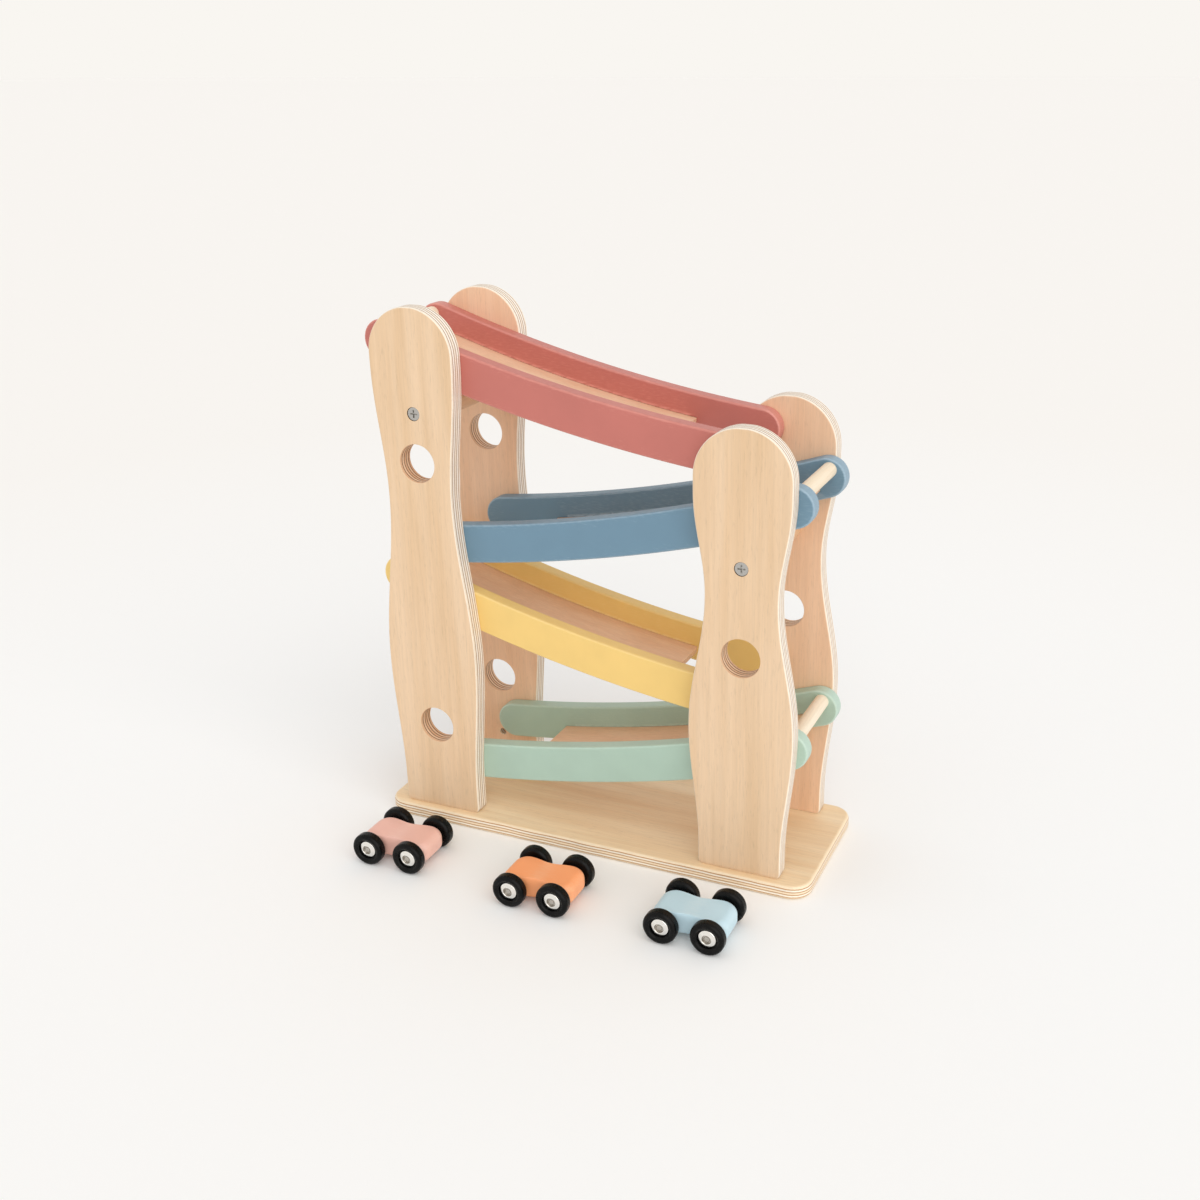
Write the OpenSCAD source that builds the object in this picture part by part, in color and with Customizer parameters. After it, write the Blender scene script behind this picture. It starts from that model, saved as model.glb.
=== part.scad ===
// Click clack track toy: four sagging wooden ramps zigzag down between two pairs of waisted uprights.
// A car rolls down a ramp, tips through the drop slot at its low end and lands upside down on the
// ramp below, against a stop dowel. Three cars with oversized wheels stand in front of the tower.
// Origin: middle of the base board's underside. X runs along the ramps, -Y is the front, Z is up.

/* [Base board] */
// Length of the base board
base_l = 264; // [240:1:320]
// Width of the base board, front to back
base_w = 93; // [90:1:120]
// Thickness of the base board
base_t = 8.2; // [6:0.2:14]
// Radius of the board's corners, seen from above
base_corner_r = 12; // [6:1:20]
// Radius that softens the board's long edges
base_edge_r = 2; // [1:0.5:3]

/* [Uprights] */
// Thickness of the plywood that the uprights are cut from
upright_t = 10; // [8:0.5:14]
// Distance over the outer faces of a front and back upright
pair_w = 83.6; // [78:0.2:88]
// Distance between the middle lines of the left and the right pair
pair_span = 187.2; // [180:0.4:196]
// How far the tower's middle stands left of the board's middle
tower_shift = 1.9; // [0:0.1:5]
// Radius that softens the uprights' edges
upright_edge_r = 1.6; // [0.6:0.2:2.6]
// Radius of the two bottom corners of an upright
foot_corner_r = 2.5; // [1:0.5:5]
// Width of the head of a tall upright
tall_head_w = 50.8; // [46:0.2:60]
// Width of the waist of a tall upright
tall_waist_w = 38.4; // [34:0.2:42]
// Width of the hip of a tall upright
tall_hip_w = 57; // [50:0.2:62]
// Width of the foot of a tall upright
tall_foot_w = 48.4; // [44:0.2:54]
// Width of the head of a short upright
short_head_w = 52.8; // [48:0.2:60]
// Width of the waist of a short upright
short_waist_w = 40; // [36:0.2:44]
// Width of the hip of a short upright
short_hip_w = 58.6; // [52:0.2:62]
// Width of the foot of a short upright
short_foot_w = 47.2; // [44:0.2:54]
// Height of a tall upright's head centre above the middle line of the top ramp
tall_head_rise = 2.8; // [0:0.1:6]
// Depth of a short upright's head centre below the low end of the top ramp
short_head_drop = 8.9; // [4:0.1:12]

/* [Finger holes] */
// Radius of the finger holes in the uprights
finger_hole_r = 10.8; // [8:0.2:12]
// Distance from a tall pair's tie down to the upper finger hole
tall_hole_drop = 27.5; // [24:0.5:34]
// Height of a tall upright's lower finger hole above the board
low_hole_rise = 53.9; // [44:0.1:64]
// Distance from a short pair's tie down to its finger hole
short_hole_drop = 49.1; // [40:0.1:54]
// Radius of the small pilot hole by the lowest ramp's end in a back left upright
pilot_r = 2.2; // [1.5:0.1:3]
// Depth of the pilot hole
pilot_depth = 4; // [2:0.5:6]
// Distance from the lowest ramp's end centre down to the pilot hole
pilot_drop = 14.4; // [13:0.1:18]

/* [Ramps] */
// Height of a rail, square to its run
rail_h = 22; // [18:0.5:26]
// Thickness of a rail
rail_t = 8.6; // [8:0.2:11]
// Radius that softens the rails' edges
rail_edge_r = 1.2; // [0.6:0.2:2]
// Distance from the tower's middle to the centre of a rail's high round end
high_reach = 117; // [110:1:120]
// Distance from the tower's middle to the centre of a rail's low round end
low_reach = 80; // [76:1:84]
// Height that a rail gains from its low to its high end
ramp_drop = 44.2; // [37:0.2:48]
// Depth of a rail's sag below the straight line between its ends
ramp_sag = 5.6; // [2:0.2:9]
// Height of the lowest ramp's low end centre above the board
ramp_clear = 28.8; // [26:0.2:36]
// Height from one ramp to the next
ramp_pitch = 67.6; // [66:0.2:76]
// Thickness of a ramp's floor
floor_t = 4; // [3:0.2:5]
// Depth of the floor's top below the rails' middle line
floor_drop = 2; // [1:0.2:4]
// Depth of the grooves that hold the floor in the rails
groove_d = 2.4; // [1.5:0.1:3]
// Distance from the tower's middle to the floor's low edge, where the drop slot starts
slot_start = 43.7; // [38:0.1:48]
// Distance from the tower's middle to the floor's high edge
floor_reach = 113; // [106:1:116]

/* [Dowels, pins and screws] */
// Radius of the stop dowel across a ramp's high end
stop_r = 4.1; // [3:0.1:4.4]
// Distance of the stop dowel from the centre of the rail's round end
stop_off = 5.3; // [4.5:0.1:5.6]
// Slope of the line from that centre up to the stop dowel, in degrees
stop_slope = 70; // [50:1:85]
// Depth of the stop dowel's blind holes in the rails
stop_depth = 5; // [3:0.5:6]
// Radius of the tie that joins a front and a back upright
tie_r = 8; // [6:0.5:9]
// Distance from the top ramp's middle line down to the tall pair's tie
tall_tie_drop = 28.9; // [26:0.1:34]
// Distance from the second ramp's middle line down to the short pair's tie
short_tie_drop = 24.2; // [23:0.1:30]
// Radius of the hidden pins that hold the rails to the uprights
pin_r = 2.5; // [2:0.1:3]
// Depth of a rail pin in the rail and in the upright
pin_depth = 5; // [4:0.5:5.5]
// Radius of a screw's head
head_r = 3.6; // [3:0.1:4.5]
// Height of a screw's countersunk head
head_h = 2.6; // [2:0.1:3.5]
// Radius of a screw's shank
shank_r = 1.6; // [1.2:0.1:2]
// Reach of a screw past the board that it clamps
screw_bite = 18; // [12:1:24]
// How far a screw's head lies below the surface
head_sink = 0.4; // [0.2:0.1:0.8]
// Width of a slot of the cross recess in a screw's head
cross_w = 0.9; // [0.6:0.1:1.2]
// Depth of the cross recess
cross_depth = 1.3; // [0.8:0.1:1.6]

/* [Cars] */
// Radius of a wheel
wheel_r = 9.4; // [8.6:0.1:10.5]
// Width of a wheel
wheel_w = 6.2; // [5:0.1:7]
// Radius of a tyre's rounded shoulders
shoulder_r = 1.9; // [1:0.1:2.4]
// Depth of a wheel's hub below the crown of the tyre's side wall
hub_sink = 0.8; // [0.4:0.1:1.2]
// Distance over the outer faces of a car's wheels
car_w = 36; // [34:0.5:38]
// Distance between a car's axles
wheelbase = 26; // [24:0.5:30]
// Length of a car's body
car_body_l = 42; // [38:0.5:50]
// Height of a car's body
car_body_h = 12; // [9:0.5:13]
// Width of a car's body at its axles
car_body_w = 22.4; // [20:0.2:23]
// Width of a car's body at its waist
car_waist_w = 18.4; // [14:0.2:20]
// Radius of the body's corners, seen from above
car_corner_r = 6; // [3:0.5:8]
// Height and depth of the round-over at the body's ends
car_end_r = 4.4; // [2:0.2:4.8]
// Depth of the round-over along the body's sides
car_side_r = 1.6; // [0.8:0.2:2.4]
// Radius of the steel axles
axle_r = 1.3; // [1:0.1:1.6]
// Radius of the recess in a wheel's outer face
recess_r = 5.4; // [4.6:0.1:6]
// Depth of that recess
recess_depth = 2.6; // [1.8:0.1:3.2]
// Radius of a polished axle cap
cap_r = 5; // [4:0.1:5.2]
// Height of a cap's dome
cap_h = 2.4; // [2.2:0.1:2.8]
// Radius of the round dimple in the middle of a cap
dimple_r = 2.7; // [2:0.1:3]
// Depth of that dimple
dimple_depth = 0.9; // [0.5:0.1:1]
// How far the axle reaches into its cap
cap_bite = 1; // [0.8:0.1:1.2]
// Distance of the pink car's middle left of the board's middle
pink_car_x = 95.4; // [90:1:110]
// Distance of the pink car's middle in front of the board's front edge
pink_car_y = 37.6; // [30:1:60]
// Distance of the orange car's middle left of the board's middle
orange_car_x = 1.8; // [-5:1:5]
// Distance of the orange car's middle in front of the board's front edge
orange_car_y = 44.3; // [30:1:60]
// Distance of the light blue car's middle right of the board's middle
blue_car_x = 85.9; // [80:1:110]
// Distance of the light blue car's middle in front of the board's front edge
blue_car_y = 44; // [30:1:60]

/* [Fits] */
// Clearance round a pin, screw or dowel in its hole
fit = 0.05; // [0.02:0.01:0.1]
// Clearance between a wheel's bore and its axle
run_fit = 0.07; // [0.03:0.01:0.1]
// Gap between a turning wheel and the faces beside it
side_gap = 0.3; // [0.2:0.05:0.5]

/* [Hidden] */
$fn = 64;
// Sides of the long, nearly straight arcs of the ramps, for one whole turn
arc_sides = 720;
// Overrun of every cut past the face that it opens
cut = 1;

birch = "#e8cba5";
beech_floor = "#cf9f7a";
dowel_wood = "#f0dcb8";
steel = "#c9c9c9";
tyre_black = "#1d1d1f";
// Sides of the tower, where the left pair is tall and the right pair is short, and the ends of a car
left = -1;
right = 1;
// The two faces of the tower and of a car; the back is the front, mirrored
front = 0;
back = 1;
// A ramp: its level, counted from the lowest, the side of its high end, and its paint
green_ramp = [0, right, "#aecbb6"];
yellow_ramp = [1, left, "#f6d27d"];
blue_ramp = [2, right, "#7896aa"];
red_ramp = [3, left, "#cd7a6e"];
ramps = [green_ramp, yellow_ramp, blue_ramp, red_ramp];
// A car: the place of its middle on the floor, and its paint
pink_car = [-pink_car_x, -base_w / 2 - pink_car_y, "#ebb4a5"];
orange_car = [-orange_car_x, -base_w / 2 - orange_car_y, "#ffa06e"];
blue_car = [blue_car_x, -base_w / 2 - blue_car_y, "#bed7e1"];

tower_x = -tower_shift;
// Ramp arc, in a frame whose zero is below the tower's middle at the height of the rail's low end
ramp_run = high_reach + low_reach;
chord = sqrt(pow(ramp_run, 2) + pow(ramp_drop, 2));
tilt = atan2(ramp_drop, ramp_run);
arc_r = pow(chord, 2) / (8 * ramp_sag) + ramp_sag / 2;
half_sweep = asin(chord / 2 / arc_r);
arc_x = (high_reach - low_reach) / 2 - (arc_r - ramp_sag) * sin(tilt);
arc_z = ramp_drop / 2 + (arc_r - ramp_sag) * cos(tilt);
low_end_angle = tilt - half_sweep - 90;
high_end_angle = tilt + half_sweep - 90;
// Height of the arc of radius r at distance u from the tower's middle, and its angle there
function arc_height(u, r = arc_r) = arc_z - sqrt(pow(r, 2) - pow(u - arc_x, 2));
function arc_angle(u, r) = asin((u - arc_x) / r) - 90;
function low_end_z(ramp) = base_t + ramp_clear + ramp[0] * ramp_pitch;
function centre_z(ramp) = low_end_z(ramp) + arc_height(pair_span / 2);

rail_out_y = pair_w / 2 - upright_t;
rail_in_y = rail_out_y - rail_t;
floor_r = arc_r + floor_drop;
floor_w = 2 * (rail_in_y + groove_d - fit);
stop_x = high_reach + stop_off * cos(stop_slope);
stop_z = ramp_drop + stop_off * sin(stop_slope);

tall_head_z = centre_z(red_ramp) + tall_head_rise - base_t;
short_head_z = low_end_z(red_ramp) - short_head_drop - base_t;
tall_tie_z = centre_z(red_ramp) - tall_tie_drop;
short_tie_z = centre_z(blue_ramp) - short_tie_drop;
// Heights of foot, hip, waist and shoulder, as shares of the head centre's height above the board
tall_station_shares = [0.06, 0.35, 0.708, 0.975];
short_station_shares = [0.053, 0.376, 0.718, 0.96];

wheel_in_y = car_w / 2 - wheel_w;
recess_y = car_w / 2 - recess_depth;
cap_y = recess_y + side_gap;
axle_l = 2 * (cap_y + cap_bite);

// Smooth step from a to b as s goes from 0 to 1
function ease(a, b, s) = a + (b - a) * (1 - cos(180 * s)) / 2;

// Right half of an upright's outline, from the foot up to the head centre's height
function flank(widths, heights) = [
    for (k = [0 : len(widths) - 2]) for (i = [1 : 8])
        [ease(widths[k], widths[k + 1], i / 8) / 2, heights[k] + (heights[k + 1] - heights[k]) * i / 8]
];

// Whole outline, anticlockwise: right foot corner, right flank, round head, left flank, left foot corner
function upright_outline(head_z, shares, widths) =
    let (
        heights = [for (s = shares) s * head_z],
        side = flank(widths, heights),
        foot = widths[0] / 2,
        head = widths[3] / 2,
        c = foot_corner_r
    )
    concat(
        [for (a = [-90 : 30 : 0]) [foot - c + c * cos(a), c * (1 + sin(a))]],
        [[foot, heights[0]]],
        side,
        [for (a = [0 : 9 : 180]) [head * cos(a), head_z + head * sin(a)]],
        [for (i = [len(side) - 1 : -1 : 0]) [-side[i][0], side[i][1]]],
        [[-foot, heights[0]]],
        [for (a = [180 : 30 : 270]) [c - foot + c * cos(a), c * (1 + sin(a))]]
    );

// The outline drawn in by d, square to its own run
function drawn_in(pts, d) = [
    for (i = [0 : len(pts) - 1])
        let (
            t = pts[(i + 1) % len(pts)] - pts[(i + len(pts) - 1) % len(pts)],
            n = [t[1], -t[0]] / norm(t)
        )
        pts[i] - n * d
];

// Skin over a stack of rings that all have the same number of points
module skin(rings) {
    n = len(rings[0]);
    top = len(rings) - 1;
    polyhedron(
        points = [for (ring = rings) for (p = ring) p],
        faces = concat(
            [[for (i = [0 : n - 1]) i]],
            [for (k = [0 : top - 1]) for (i = [0 : n - 1])
                [k * n + i, (k + 1) * n + i, (k + 1) * n + (i + 1) % n, k * n + (i + 1) % n]],
            [[for (i = [n - 1 : -1 : 0]) top * n + i]]
        )
    );
}

// A board of thickness t with softened edges, lying on its face
module soft_board(pts, t, edge) {
    skin(concat(
        [for (a = [-90 : 45 : 0])
            [for (p = drawn_in(pts, edge * (1 - cos(a)))) [p[0], p[1], edge * (1 + sin(a))]]],
        [for (a = [0 : 45 : 90])
            [for (p = drawn_in(pts, edge * (1 - cos(a)))) [p[0], p[1], t - edge * (1 - sin(a))]]]
    ));
}

// A round hole or rod along Y that starts at y0 and runs back by l
module rod_y(x, y0, z, r, l) {
    translate([x, y0, z]) rotate([-90, 0, 0]) cylinder(h = l, r = r);
}

// A screw, head up, its head's face at height zero; grown by g it is its own hole
module screw(l, g = 0) {
    translate([0, 0, -head_h]) cylinder(h = head_h, r1 = shank_r + g, r2 = head_r + g);
    translate([0, 0, -l - g]) cylinder(h = l, r = shank_r + g);
}

module cross_recess() {
    for (a = [0, 90])
        rotate(a) translate([-head_r * 0.6, -cross_w / 2, -cross_depth])
            cube([head_r * 1.2, cross_w, cross_depth + cut]);
}

// Outline of the base board, anticlockwise from its right front corner
board_outline = [
    for (quarter = [0 : 3], a = [0 : 15 : 90])
        let (turn = 90 * (quarter - 1) + a, c = base_corner_r)
        [(quarter < 2 ? 1 : -1) * (base_l / 2 - c) + c * cos(turn),
            (quarter == 1 || quarter == 2 ? 1 : -1) * (base_w / 2 - c) + c * sin(turn)]
];

function pair_x(side) = tower_x + side * pair_span / 2;
function foot_width(side) = side == left ? tall_foot_w : short_foot_w;
upright_y = pair_w / 2 - upright_t / 2;

// Places of the screws that come up through the board into the uprights
module at_base_screws() {
    for (side = [left, right], y = [-upright_y, upright_y], step = [-1, 1])
        translate([pair_x(side) + step * foot_width(side) / 4, y, head_sink])
            rotate([180, 0, 0]) children();
}

module base_board() {
    color(birch) difference() {
        soft_board(board_outline, base_t, base_edge_r);
        at_base_screws() {
            screw(base_t + cut, fit);
            cylinder(h = head_sink + cut, r = head_r + fit);
        }
    }
}

// Where a rail is pinned to a pair: at its round low end, or where it crosses the pair's middle line
function pin_place(ramp, side) =
    ramp[1] == side ? [pair_x(side), centre_z(ramp)] : [tower_x + side * low_reach, low_end_z(ramp)];

tall_outline = upright_outline(
    tall_head_z, tall_station_shares, [tall_foot_w, tall_hip_w, tall_waist_w, tall_head_w]
);
short_outline = upright_outline(
    short_head_z, short_station_shares, [short_foot_w, short_hip_w, short_waist_w, short_head_w]
);

module upright_blank(side) {
    translate([pair_x(side), -rail_out_y, base_t]) rotate([90, 0, 0])
        soft_board(side == left ? tall_outline : short_outline, upright_t, upright_edge_r);
}

function tie_z(side) = side == left ? tall_tie_z : short_tie_z;
function finger_hole_heights(side) =
    side == left ? [tall_tie_z - tall_hole_drop, base_t + low_hole_rise] : [short_tie_z - short_hole_drop];

// The front upright of one pair, with all its holes
module front_upright(side) {
    color(birch) difference() {
        upright_blank(side);
        for (z = finger_hole_heights(side))
            rod_y(pair_x(side), -pair_w / 2 - cut, z, finger_hole_r, upright_t + 2 * cut);
        for (ramp = ramps)
            let (pin = pin_place(ramp, side))
                rod_y(pin[0], -rail_out_y - pin_depth - fit, pin[1], pin_r + fit, pin_depth + fit + cut);
        translate([pair_x(side), head_sink - pair_w / 2, tie_z(side)]) rotate([90, 0, 0]) {
            screw(upright_t + cut, fit);
            cylinder(h = head_sink + cut, r = head_r + fit);
        }
        for (step = [-1, 1])
            translate([pair_x(side) + step * foot_width(side) / 4, -upright_y, base_t - cut])
                cylinder(h = screw_bite + 2 * cut, r = shank_r + fit);
    }
}

module back_upright(side) {
    mirror([0, 1, 0]) front_upright(side);
}

module back_left_upright() {
    color(birch) difference() {
        back_upright(left);
        rod_y(pair_x(left), rail_out_y - cut, low_end_z(green_ramp) - pilot_drop, pilot_r, pilot_depth + cut);
    }
}

// Puts a ramp's drawing, made in the XY plane with its high end at +X, up in its place in the tower
module at_ramp(ramp) {
    translate([tower_x, 0, low_end_z(ramp)]) mirror([ramp[1] == left ? 1 : 0, 0, 0])
        rotate([90, 0, 0]) children();
}

// Sweeps a flat profile, drawn at the arc's radius, from one angle to another
module arc_sweep(from, to) {
    translate([arc_x, arc_z, 0]) rotate(from) rotate_extrude(angle = to - from, $fn = arc_sides) children();
}

// Point at radius r and angle a round a centre c
function round_point(c, r, a) = [c[0] + r * cos(a), c[1] + r * sin(a)];

// Outline of a rail, anticlockwise from the middle of its lower arc: on to the round high end, back
// along the upper arc, round the low end, and out to the middle again
rail_steps = [for (i = [0 : 12]) low_end_angle + 2 * half_sweep * i / 12];
rail_outline = concat(
    [for (i = [6 : 12]) round_point([arc_x, arc_z], arc_r + rail_h / 2, rail_steps[i])],
    [for (a = [15 : 15 : 165]) round_point([high_reach, ramp_drop], rail_h / 2, high_end_angle + a)],
    [for (i = [12 : -1 : 0]) round_point([arc_x, arc_z], arc_r - rail_h / 2, rail_steps[i])],
    [for (a = [195 : 15 : 345]) round_point([-low_reach, 0], rail_h / 2, low_end_angle + a)],
    [for (i = [0 : 5]) round_point([arc_x, arc_z], arc_r + rail_h / 2, rail_steps[i])]
);

// The floor's curved slab, grown by g all round
module floor_slab(w, g = 0) {
    play = 360 * g / (2 * PI * floor_r);
    arc_sweep(arc_angle(-slot_start, floor_r) - play, arc_angle(floor_reach, floor_r) + play)
        translate([floor_r - g, -w / 2 - g]) square([floor_t + 2 * g, w + 2 * g]);
}

// The front rail in the ramp's drawing, with its groove, stop dowel hole and two pin holes
module drilled_rail() {
    difference() {
        translate([0, 0, rail_in_y]) soft_board(rail_outline, rail_t, rail_edge_r);
        floor_slab(floor_w, fit);
        translate([stop_x, stop_z, rail_in_y - cut]) cylinder(h = cut + stop_depth + fit, r = stop_r + fit);
        for (p = [[-low_reach, 0], [pair_span / 2, arc_height(pair_span / 2)]])
            translate([p[0], p[1], rail_out_y - pin_depth - fit])
                cylinder(h = pin_depth + fit + cut, r = pin_r + fit);
    }
}

module rail(ramp, face) {
    color(ramp[2]) at_ramp(ramp) mirror([0, 0, face]) drilled_rail();
}

module ramp_floor(ramp) {
    color(beech_floor) at_ramp(ramp) floor_slab(floor_w);
}

module stop_dowel(ramp) {
    reach = rail_in_y + stop_depth;
    color(dowel_wood) at_ramp(ramp)
        translate([stop_x, stop_z, -reach]) cylinder(h = 2 * reach, r = stop_r);
}

// The tie between the two uprights of a pair, drilled at both ends for its screws
module tie(side) {
    color(birch) difference() {
        rod_y(pair_x(side), -rail_out_y, tie_z(side), tie_r, 2 * rail_out_y);
        for (y = [-rail_out_y - cut, rail_out_y - screw_bite - fit])
            rod_y(pair_x(side), y, tie_z(side), shank_r + fit, screw_bite + fit + cut);
    }
}

module tie_screws() {
    color(steel) for (side = [left, right], face = [front, back]) mirror([0, face, 0])
        translate([pair_x(side), head_sink - pair_w / 2, tie_z(side)]) rotate([90, 0, 0])
            difference() {
                screw(upright_t - head_sink + screw_bite - fit);
                cross_recess();
            }
}

module base_screws() {
    color(steel) at_base_screws() difference() {
        screw(base_t - head_sink + screw_bite);
        cross_recess();
    }
}

module rail_pins() {
    color(dowel_wood) for (ramp = ramps, side = [left, right], face = [front, back])
        let (pin = pin_place(ramp, side))
            mirror([0, face, 0]) rod_y(pin[0], -rail_out_y - pin_depth, pin[1], pin_r, 2 * pin_depth);
}

// Quarter outline of a car's body seen from above: end, round corner, concave flank
function car_quarter(inset_x, inset_y) =
    let (
        l = car_body_l / 2 - inset_x,
        w = car_body_w / 2 - inset_y,
        dent = (car_body_w - car_waist_w) / 2,
        c = car_corner_r
    )
    concat(
        [for (a = [0 : 18 : 90]) [l - c + c * cos(a), w - c + c * sin(a)]],
        [for (i = [1 : 6]) [(l - c) * (1 - i / 6), w - ease(0, dent, i / 6)]]
    );

function car_outline(inset_x, inset_y, z) =
    let (q = car_quarter(inset_x, inset_y), n = len(q))
    concat(
        [for (i = [0 : n - 1]) [q[i][0], q[i][1], z]],
        [for (i = [n - 2 : -1 : 0]) [-q[i][0], q[i][1], z]],
        [for (i = [0 : n - 1]) [-q[i][0], -q[i][1], z]],
        [for (i = [n - 2 : -1 : 0]) [q[i][0], -q[i][1], z]]
    );

module at_car(car) {
    translate([car[0], car[1], wheel_r]) children();
}

module car_body(car) {
    flat = car_body_h / 2 - car_end_r;
    color(car[2]) at_car(car) difference() {
        skin(concat(
            [for (a = [-90 : 30 : 0])
                car_outline(car_end_r * (1 - cos(a)), car_side_r * (1 - cos(a)), car_end_r * sin(a) - flat)],
            [for (a = [0 : 30 : 90])
                car_outline(car_end_r * (1 - cos(a)), car_side_r * (1 - cos(a)), car_end_r * sin(a) + flat)]
        ));
        for (end = [left, right]) rod_y(end * wheelbase / 2, -car_w / 2, 0, axle_r + fit, car_w);
    }
}

module car_axles(car) {
    color(steel) at_car(car) for (end = [left, right])
        rod_y(end * wheelbase / 2, -axle_l / 2, 0, axle_r, axle_l);
}

// Domed cap on an axle's end: short straight rim, ball's crown, round dimple, blind bore for the axle
module axle_cap() {
    rim = 0.35 * cap_h;
    crown = cap_h - rim;
    ball_r = (pow(cap_r, 2) + pow(crown, 2)) / (2 * crown);
    dimple_ball_r = (pow(dimple_r, 2) + pow(dimple_depth, 2)) / (2 * dimple_depth);
    difference() {
        rotate_extrude() {
            square([cap_r, rim]);
            intersection() {
                translate([0, rim]) square([cap_r, crown]);
                translate([0, cap_h - ball_r]) circle(r = ball_r, $fn = 256);
            }
        }
        translate([0, 0, cap_h - dimple_depth + dimple_ball_r]) sphere(r = dimple_ball_r);
        translate([0, 0, -cut]) cylinder(h = cap_bite + fit + cut, r = axle_r + fit);
    }
}

module car_caps(car) {
    color(steel) at_car(car) for (end = [left, right], face = [front, back]) mirror([0, face, 0])
        translate([end * wheelbase / 2, -cap_y, 0]) rotate([90, 0, 0]) axle_cap();
}

// A wheel lying on its inner face: tyre with round shoulders, sunk hub, recess for the cap, bore
module wheel_blank() {
    soft = shoulder_r;
    difference() {
        rotate_extrude() {
            square([wheel_r - soft, wheel_w - hub_sink]);
            translate([0, soft]) square([wheel_r, wheel_w - 2 * soft]);
            for (y = [soft, wheel_w - soft]) translate([wheel_r - soft, y]) circle(r = soft);
        }
        translate([0, 0, wheel_w - recess_depth]) cylinder(h = recess_depth + cut, r = recess_r);
        translate([0, 0, -cut]) cylinder(h = wheel_w + 2 * cut, r = axle_r + run_fit);
    }
}

module wheel(car, end, face) {
    color(tyre_black) at_car(car) mirror([0, face, 0])
        translate([end * wheelbase / 2, -wheel_in_y, 0]) rotate([90, 0, 0]) wheel_blank();
}

base_board();
front_upright(left);  // front_left_upright
back_left_upright();
front_upright(right);  // front_right_upright
back_upright(right);  // back_right_upright
rail(red_ramp, front);  // red_front_rail
rail(red_ramp, back);  // red_back_rail
ramp_floor(red_ramp);  // red_floor
stop_dowel(red_ramp);  // red_stop_dowel
rail(blue_ramp, front);  // blue_front_rail
rail(blue_ramp, back);  // blue_back_rail
ramp_floor(blue_ramp);  // blue_floor
stop_dowel(blue_ramp);  // blue_stop_dowel
rail(yellow_ramp, front);  // yellow_front_rail
rail(yellow_ramp, back);  // yellow_back_rail
ramp_floor(yellow_ramp);  // yellow_floor
stop_dowel(yellow_ramp);  // yellow_stop_dowel
rail(green_ramp, front);  // green_front_rail
rail(green_ramp, back);  // green_back_rail
ramp_floor(green_ramp);  // green_floor
stop_dowel(green_ramp);  // green_stop_dowel
tie(left);  // left_tie
tie(right);  // right_tie
tie_screws();
base_screws();
rail_pins();
car_body(pink_car);  // pink_car_body
car_axles(pink_car);  // pink_car_axles
car_caps(pink_car);  // pink_car_caps
wheel(pink_car, left, front);  // pink_front_left_wheel
wheel(pink_car, left, back);  // pink_back_left_wheel
wheel(pink_car, right, front);  // pink_front_right_wheel
wheel(pink_car, right, back);  // pink_back_right_wheel
car_body(orange_car);  // orange_car_body
car_axles(orange_car);  // orange_car_axles
car_caps(orange_car);  // orange_car_caps
wheel(orange_car, left, front);  // orange_front_left_wheel
wheel(orange_car, left, back);  // orange_back_left_wheel
wheel(orange_car, right, front);  // orange_front_right_wheel
wheel(orange_car, right, back);  // orange_back_right_wheel
car_body(blue_car);  // blue_car_body
car_axles(blue_car);  // blue_car_axles
car_caps(blue_car);  // blue_car_caps
wheel(blue_car, left, front);  // blue_front_left_wheel
wheel(blue_car, left, back);  // blue_back_left_wheel
wheel(blue_car, right, front);  // blue_front_right_wheel
wheel(blue_car, right, back);  // blue_back_right_wheel
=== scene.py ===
import math

import bmesh
import bpy
from mathutils import Matrix, Vector


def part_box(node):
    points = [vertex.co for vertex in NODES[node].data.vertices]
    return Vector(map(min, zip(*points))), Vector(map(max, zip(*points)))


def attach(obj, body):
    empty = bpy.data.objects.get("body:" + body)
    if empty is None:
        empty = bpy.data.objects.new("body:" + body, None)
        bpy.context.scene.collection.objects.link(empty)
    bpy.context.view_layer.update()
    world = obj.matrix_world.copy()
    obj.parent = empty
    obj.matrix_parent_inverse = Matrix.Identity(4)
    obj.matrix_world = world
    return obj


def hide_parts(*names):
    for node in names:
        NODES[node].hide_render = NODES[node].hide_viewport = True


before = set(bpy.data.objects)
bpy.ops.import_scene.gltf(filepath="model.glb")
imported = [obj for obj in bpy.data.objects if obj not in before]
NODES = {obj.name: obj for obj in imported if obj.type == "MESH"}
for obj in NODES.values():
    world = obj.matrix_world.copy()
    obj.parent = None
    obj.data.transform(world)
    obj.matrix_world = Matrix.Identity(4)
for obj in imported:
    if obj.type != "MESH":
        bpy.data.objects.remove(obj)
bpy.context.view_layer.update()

# A click clack track toy: four sagging ramps zigzag down between two pairs of waisted plywood
# uprights, and three little cars stand in front. Lengths below are millimetres times `mm`.
mm = 0.001


# Sides of the tower along X, and of a pair of uprights along Y
LEFT, RIGHT = -1, 1
FRONT, BACK = -1, 1
# The axis that a wood's grain runs along
ALONG_X, ALONG_Y, ALONG_Z = 0, 1, 2
TOWER_X = -1.9 * mm
PAIR_SPAN = 187.2 * mm
PAIR_W = 83.6 * mm

# Base board
BASE_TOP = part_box("base_board")[1].z
BASE_CORNER = 12 * mm
BASE_EDGE = 2 * mm
HEAD_RECESS_R = 3.65 * mm
HEAD_RECESS_D = 0.4 * mm

# Uprights
UPRIGHT_T = 10 * mm
UPRIGHT_EDGE = 0.9 * mm
FOOT_CORNER = 2.5 * mm
FINGER_HOLE_R = 10.8 * mm
FINGER_HOLE_RIM = 0.3 * mm
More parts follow.
